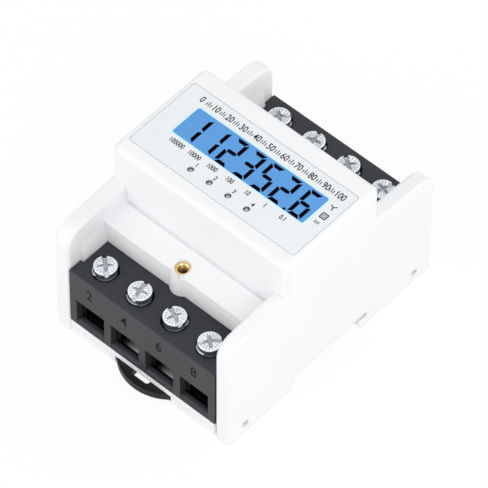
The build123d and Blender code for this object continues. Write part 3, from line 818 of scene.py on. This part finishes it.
def add_to(shape, part, matrix):
    """Copy one bmesh into another, moved by a matrix."""
    bmesh.ops.transform(part, matrix=matrix, verts=part.verts)
    carrier = bpy.data.meshes.new("carrier")
    part.to_mesh(carrier)
    part.free()
    shape.from_mesh(carrier)
    bpy.data.meshes.remove(carrier)


def lay(shape, bar, start, end):
    """Copy a bar into a bmesh, turned and moved to lie between two places."""
    run = end - start
    middle = (start + end) / 2
    turn = Matrix.Rotation(math.atan2(run.y, run.x), 4, "Z")
    add_to(shape, bar, Matrix.Translation((middle.x, middle.y, 0.0)) @ turn)


def stroke(shape, start, end, width, corner=0.0):
    """A straight printed stroke between two places."""
    start, end = Vector(start), Vector(end)
    lay(shape, plate((end - start).length, width, print_lift, corner), start, end)


print("label at", round(label_top, 2), "mm, block face at", round(block_face, 2), "mm")

# %% [markdown]
# ## The display
#
# A mask of film fills the label's opening, and the display shows on it as a blue field. A plate
# with round corners is inset once: the inner face is the blue cell and the frame is the pale
# light at its rim.

# %% Display field
corner_steps = 8
mask_size = (56.76, 13.16)
mask_corner = 1.18
mask_y = 1.6
field_size = (57.6, 14.4)
field_corner = 1.4
field_place = (0.75, 1.5)
field_lift = 0.02
rim_width = 0.6
window_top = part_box("display_window")[1].z / MM
mask = plate(*mask_size, label_top - window_top, mask_corner, corner_steps)
bmesh.ops.translate(mask, verts=mask.verts, vec=(0.0, mask_y, window_top))
finished("display_mask", mask, film.material)

field = plate(*field_size, field_lift, field_corner, corner_steps)
top_face = max(field.faces, key=lambda face: face.calc_center_median().z)
bmesh.ops.inset_region(field, faces=[top_face], thickness=rim_width)
for face in field.faces:
    face.material_index = 1
top_face.material_index = 0
bmesh.ops.translate(field, verts=field.verts, vec=(*field_place, label_top))
display_field = finished("display_field", field, display_blue.material)
display_field.data.materials.append(display_rim.material)
display_top = label_top + field_lift
print("display field to", round(display_top, 2), "mm")

# %% [markdown]
# ## The digits
#
# Seven digits of up to seven segments. An outer segment is a plate whose inner side is drawn in
# at both ends, so that neighbours meet in the slanting gaps that such displays have. The middle
# segment has its corners bevelled into two blunt points. Going round clockwise keeps the outer
# side on the left.

# %% Seven-segment digits
digit_width = 5.6
digit_height = 12.3
segment_width = 1.4
segment_gap = 0.15
segment_corner = 0.62
corner_reach = 0.45
waist_reach = -0.1
digit_pitch = 7.65
digit_x = 0.6
digit_y = 1.2
last_shift = 0.9
lean = -0.01
point_size = 1.0
point_corner = 0.45
point_place = (20.6, -5.8, 0.0)
half_w = (digit_width - segment_width) / 2
half_h = (digit_height - segment_width) / 2
joints = {
    "a": ((-half_w, half_h), (half_w, half_h)),
    "b": ((half_w, half_h), (half_w, 0.0)),
    "c": ((half_w, 0.0), (half_w, -half_h)),
    "d": ((half_w, -half_h), (-half_w, -half_h)),
    "e": ((-half_w, -half_h), (-half_w, 0.0)),
    "f": ((-half_w, 0.0), (-half_w, half_h)),
    "g": ((-half_w, 0.0), (half_w, 0.0)),
}
lit = {"1": "bc", "2": "abged", "3": "abgcd", "5": "afgcd", "6": "afgecd"}
reading = "1123526"


def add_segment(shape, start, end):
    """An outer segment, mitred at the digit's corners and pointed at its waist."""
    half = segment_width / 2
    bar = plate((end - start).length, segment_width, print_lift)
    for vertex in bar.verts:
        joint, way = (end, 1.0) if vertex.co.x > 0.0 else (start, -1.0)
        outer = half * (corner_reach if joint.y else waist_reach)
        vertex.co.x += way * ((outer if vertex.co.y > 0.0 else -half) - segment_gap)
    lay(shape, bar, start, end)


digits = bmesh.new()
for i, digit in enumerate(reading):
    x = digit_x + (i - 3) * digit_pitch + (last_shift if i == len(reading) - 1 else 0.0)
    for letter in lit[digit]:
        start, end = (Vector(joint) + Vector((x, 0.0)) for joint in joints[letter])
        if letter == "g":
            side = Vector((segment_gap, 0.0))
            stroke(digits, start + side, end - side, segment_width, segment_corner)
        else:
            add_segment(digits, start, end)
point = plate(point_size, point_size, print_lift, point_corner, 4)
add_to(digits, point, Matrix.Translation(point_place))
shear = Matrix.Identity(4)
shear[0][1] = lean
bmesh.ops.transform(digits, matrix=shear, verts=digits.verts)
bmesh.ops.translate(digits, verts=digits.verts, vec=(0.0, digit_y, display_top))
finished("display_digits", digits, segment_ink.material)
print(len(reading), "digits")

# %% [markdown]
# ## Numbers and marks on the label
#
# A scale from 0 to 100 runs along the top, place values stand under the digits, and each lamp has
# its number. Three plain symbols stand at the right. Numbers come from Blender's own font as
# curves, which become a mesh before they are placed.


# %% Text as a mesh
capital_share = 0.7


def add_number(shape, text, x, y, style):
    """Add a text about a place, in a style of capital height, narrowing and added weight."""
    height, width, weight = style
    curve = bpy.data.curves.new("text", "FONT")
    curve.body = text
    curve.align_x = "CENTER"
    curve.align_y = "CENTER"
    curve.size = height / capital_share
    curve.offset = weight
    curve.extrude = print_lift / 2
    curve.resolution_u = 4
    holder = bpy.data.objects.new("text", curve)
    bpy.context.scene.collection.objects.link(holder)
    bpy.context.view_layer.update()
    flat = bpy.data.meshes.new_from_object(holder)
    part = bmesh.new()
    part.from_mesh(flat)
    squeeze = Matrix.Diagonal((width, 1.0, 1.0, 1.0))
    add_to(shape, part, Matrix.Translation((x, y, print_lift / 2)) @ squeeze)
    bpy.data.objects.remove(holder)
    bpy.data.curves.remove(curve)
    bpy.data.meshes.remove(flat)


# %% The label's scale and numbers
# A style is the height of the capitals, their narrowing and an added weight.
scale_style = (2.6, 0.76, 0.05)
value_style = (1.9, 0.76, 0.045)
lamp_style = (1.7, 0.9, 0.035)
scale_start = -28.9
scale_step = 5.95
scale_y = 11.3
scale_parts = 10
tick_gap = 0.85
tick_width = 0.3
tick_foot = scale_y - 0.9
tick_tops = (scale_y + 0.5, scale_y + 1.1, scale_y + 0.5)
wide_number = 0.5
value_y = -7.7
lamp_number_y = -10.2
lamp_number_shift = 0.4
values = ("100000", "10000", "1000", "100", "10", "1", "0.1")

label_print = bmesh.new()
for i in range(scale_parts + 1):
    x = scale_start + i * scale_step
    add_number(label_print, str(10 * i), x, scale_y, scale_style)
for i in range(scale_parts):
    middle = scale_start + (i + 0.5) * scale_step - (wide_number if i == scale_parts - 1 else 0.0)
    for j, tick_top in enumerate(tick_tops):
        x = middle + (j - 1) * tick_gap
        stroke(label_print, (x, tick_foot), (x, tick_top), tick_width)
for i, value in enumerate(values):
    add_number(label_print, value, (i - 3) * digit_pitch, value_y, value_style)
for i, x in enumerate(lamp_xs):
    add_number(label_print, str(i + 1), x + lamp_number_shift, lamp_number_y, lamp_style)
print("a scale of", scale_parts, "parts,", len(values), "place values and 4 lamp numbers")

# %% The label's symbols
star = Vector((32.1, 6.3))
star_arm = 1.4
star_stroke = 0.38
square = Vector((32.2, 1.7))
square_corners = ((-1, -1), (1, -1), (1, 1), (-1, 1))
square_lines = ((1.1, 0.42), (0.5, 0.22))
bar_xs = (31.3, 32.0, 32.7)
bar_foot = -2.3
bar_top = -1.1
bar_stroke = 0.3
for angle in (math.radians(degrees) for degrees in (40.0, 160.0, 280.0)):
    arm = Vector((math.cos(angle), math.sin(angle))) * star_arm
    stroke(label_print, star, star + arm, star_stroke)
for reach, width in square_lines:
    corners = [Vector(corner) * reach + square for corner in square_corners]
    for start, end in zip(corners, corners[1:] + corners[:1]):
        stroke(label_print, start, end, width)
for x in bar_xs:
    stroke(label_print, (x, bar_foot), (x, bar_top), bar_stroke)
bmesh.ops.transform(label_print, matrix=label_sheet, verts=label_print.verts)
finished("label_print", label_print, label_ink.material)
print("three plain symbols")

# %% [markdown]
# ## Terminal numbers
#
# The even numbers are marked over the front mouths and the odd ones over the rear mouths, in thin
# dark strokes. They are printed plates here, for a cut this fine would need a new block.

# %% Numbers on the blocks
number_height = 19.9
number_style = (4.8, 0.82, 0.04)
# Each row has a name, a sheet, the first number, the direction of X and a shift along it.
blocks = (
    ("front_numbers", front_sheet, 2, 1, -0.2),
    ("rear_numbers", rear_sheet, 1, -1, -0.4),
)
for name, matrix, first, direction, shift in blocks:
    numbers = bmesh.new()
    for i, x in enumerate(terminal_xs):
        place = (direction * x + shift, number_height)
        add_number(numbers, str(first + 2 * i), *place, number_style)
    bmesh.ops.transform(numbers, matrix=matrix, verts=numbers.verts)
    finished(name, numbers, block_ink.material)
print("8 terminal numbers")

# %% [markdown]
# ## Sills in the wire mouths
#
# Inside each mouth a low sill of the block's own plastic leads the wire over the clamp's lower
# edge and hides it. It is a plate whose upper front edge gets a broad bevel, and it fills the
# mouth's width.

# %% Eight sills
mouth_width = 12.3
mouth_floor = 0.95
mouth_back = 47.6
sill_top = 2.7
sill_slope = 1.4
sill_play = 0.02
sill_width = mouth_width - 2 * sill_play
sill_depth = block_face - mouth_back - 2 * sill_play
sill_height = sill_top - mouth_floor
for side, name in ((-1, "front_sills"), (1, "rear_sills")):
    sills = bmesh.new()
    for x in terminal_xs:
        sill = plate(sill_width, sill_depth, sill_height)
        front_edges = [
            edge
            for edge in sill.edges
            if all(v.co.z > sill_height / 2 and v.co.y * side > 0.0 for v in edge.verts)
        ]
        bmesh.ops.bevel(
            sill,
            geom=front_edges,
            offset=sill_slope,
            segments=3,
            profile=0.5,
            affect="EDGES",
            material=-1,
        )
        place = (x, side * (mouth_back + block_face) / 2, mouth_floor)
        add_to(sills, sill, Matrix.Translation(place))
    finished(name, sills, black_plastic)
print("8 sills up to", sill_top, "mm")

# %% [markdown]
# ## Floor
#
# The floor is white paper. The camera, mirrors and glass see most of it as plain white light, so
# that it is even up to the edges, and the rest is lit like any surface and keeps the object's
# shadow.

# %% White floor
floor_half = 3.0
floor_height = foot_height - 0.05
plain_paper = 0.92
floor_shape = bmesh.new()
bmesh.ops.create_grid(floor_shape, x_segments=1, y_segments=1, size=floor_half)
bmesh.ops.translate(floor_shape, verts=floor_shape.verts, vec=(0.0, 0.0, floor_height * MM))
floor_mesh = bpy.data.meshes.new("floor")
floor_shape.to_mesh(floor_mesh)
floor_shape.free()
floor = bpy.data.objects.new("floor", floor_mesh)
bpy.context.scene.collection.objects.link(floor)

dull = {"Base Color": (0.93, 0.93, 0.93), "Roughness": 0.9, "Specular IOR Level": 0.0}
paper = Finish("paper", dull)
glow = paper.node("ShaderNodeEmission", {}, {"Color": (1.0, 1.0, 1.0), "Strength": 1.0})
camera_ray, glossy_ray, clear_ray = (
    paper.node("ShaderNodeLightPath", {}, {}, f"Is {ray} Ray")
    for ray in ("Camera", "Glossy", "Transmission")
)
plain_share = (camera_ray + glossy_ray + clear_ray).limited() * plain_paper
lit_paper = Field(paper, paper.shader.outputs[0])
mixed = paper.node("ShaderNodeMixShader", {}, {0: plain_share, 1: lit_paper, 2: glow})
paper.plug(paper.tree.nodes["Material Output"].inputs["Surface"], mixed)
floor_mesh.materials.append(paper.material)
print("floor at", floor_height, "mm")

# %% [markdown]
# ## Light
#
# The photograph is nearly free of shadows, so an even white world does most of the work. It is
# plain white to the camera, mirrors and glass, and a little weaker as light, which leaves room
# for three large soft lamps that add shape: one low in front, one at the right and one behind.

# %% World and lamps
sky_strength = 0.77
sky_colour = (0.98, 0.99, 1.0, 1.0)
lamp_target = Vector((0.0, 0.0, 0.02))
world = bpy.data.worlds.new("studio")
world.use_nodes = True
bpy.context.scene.world = world
sky = world.node_tree.nodes["Background"]
sky.inputs["Color"].default_value = sky_colour
rays = world.node_tree.nodes.new("ShaderNodeLightPath")
strength = rays.outputs["Is Camera Ray"]
for ray in ("Is Glossy Ray", "Is Transmission Ray"):
    either = world.node_tree.nodes.new("ShaderNodeMath")
    either.operation = "MAXIMUM"
    world.node_tree.links.new(strength, either.inputs[0])
    world.node_tree.links.new(rays.outputs[ray], either.inputs[1])
    strength = either.outputs[0]
lift = world.node_tree.nodes.new("ShaderNodeMapRange")
lift.inputs["To Min"].default_value = sky_strength
lift.inputs["To Max"].default_value = 1.0
world.node_tree.links.new(strength, lift.inputs["Value"])
world.node_tree.links.new(lift.outputs["Result"], sky.inputs["Strength"])


def soft_lamp(name, place, size, power):
    """A square lamp that looks at the meter."""
    data = bpy.data.lights.new(name, "AREA")
    data.shape = "SQUARE"
    data.size = size
    data.energy = power
    lamp = bpy.data.objects.new(name, data)
    look = (lamp_target - Vector(place)).to_track_quat("-Z", "Y")
    lamp.matrix_world = Matrix.Translation(place) @ look.to_matrix().to_4x4()
    bpy.context.scene.collection.objects.link(lamp)


soft_lamp("front_lamp", (-0.4, -0.8, 0.45), size=0.6, power=1.9)
soft_lamp("right_lamp", (0.75, -0.4, 0.7), size=0.6, power=2.6)
soft_lamp("rear_lamp", (0.5, 0.75, 0.6), size=0.5, power=1.8)
print("a world of", sky_strength, "and 3 lamps")
